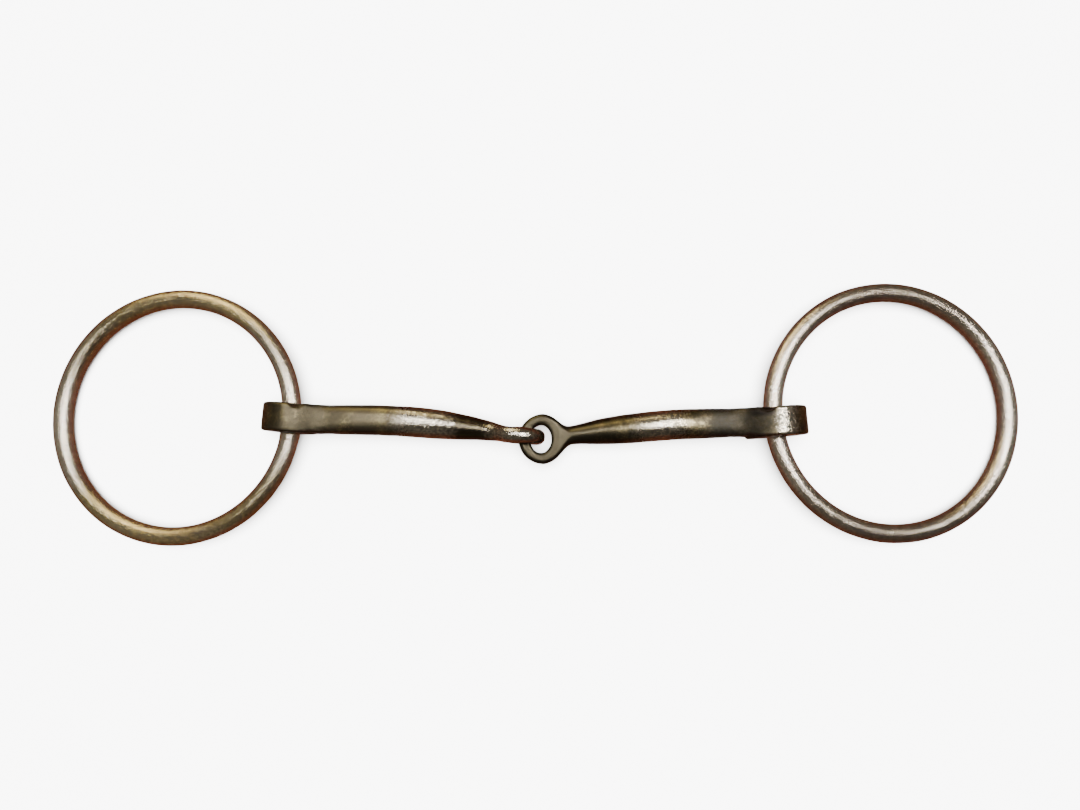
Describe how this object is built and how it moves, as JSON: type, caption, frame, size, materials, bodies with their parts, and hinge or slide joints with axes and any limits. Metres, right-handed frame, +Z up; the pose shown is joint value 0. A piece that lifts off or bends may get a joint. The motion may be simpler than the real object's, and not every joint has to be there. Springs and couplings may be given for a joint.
{
  "type": "snaffle bit",
  "caption": "Loose-ring, single-jointed snaffle bit of satin steel: plain round rings run through the bosses of slim tapered cannons that link in the middle.",
  "frame": {"origin": "on the surface that the bit lies on, midway between the two rings", "axes": "+X along the mouthpiece towards the right ring, +Y across the bit away from the way its cannons droop, +Z up"},
  "size_m": [0.2636, 0.07, 0.0164],
  "materials": {
    "ring_steel": "satin, warm tint, fine scratches",
    "mouthpiece_steel": "satin, worn bright at the joint, darkened in the neck"
  },
  "bodies": {
    "left_cannon": {"left_cannon": "mouthpiece_steel"},
    "right_cannon": {"right_cannon": "mouthpiece_steel"},
    "left_ring": {"left_ring": "ring_steel"},
    "right_ring": {"right_ring": "ring_steel"}
  },
  "joints": [
    {"name": "left_ring_swing", "type": "hinge", "parent": "left_cannon", "child": "left_ring", "pos_m": [-0.06448, -0.00095, 0.00675], "axis": [0.0292, 0.9996, 0], "range_deg": [-130, 130]},
    {"name": "centre_joint", "type": "hinge", "parent": "left_cannon", "child": "right_cannon", "pos_m": [0.00221, -0.00639, 0.0067], "axis": [0, 0, 1], "range_deg": [-90, 90]},
    {"name": "right_ring_swing", "type": "hinge", "parent": "right_cannon", "child": "right_ring", "pos_m": [0.06463, -0.0029, 0.00775], "axis": [0.0892, -0.996, 0], "range_deg": [-130, 130]}
  ]
}
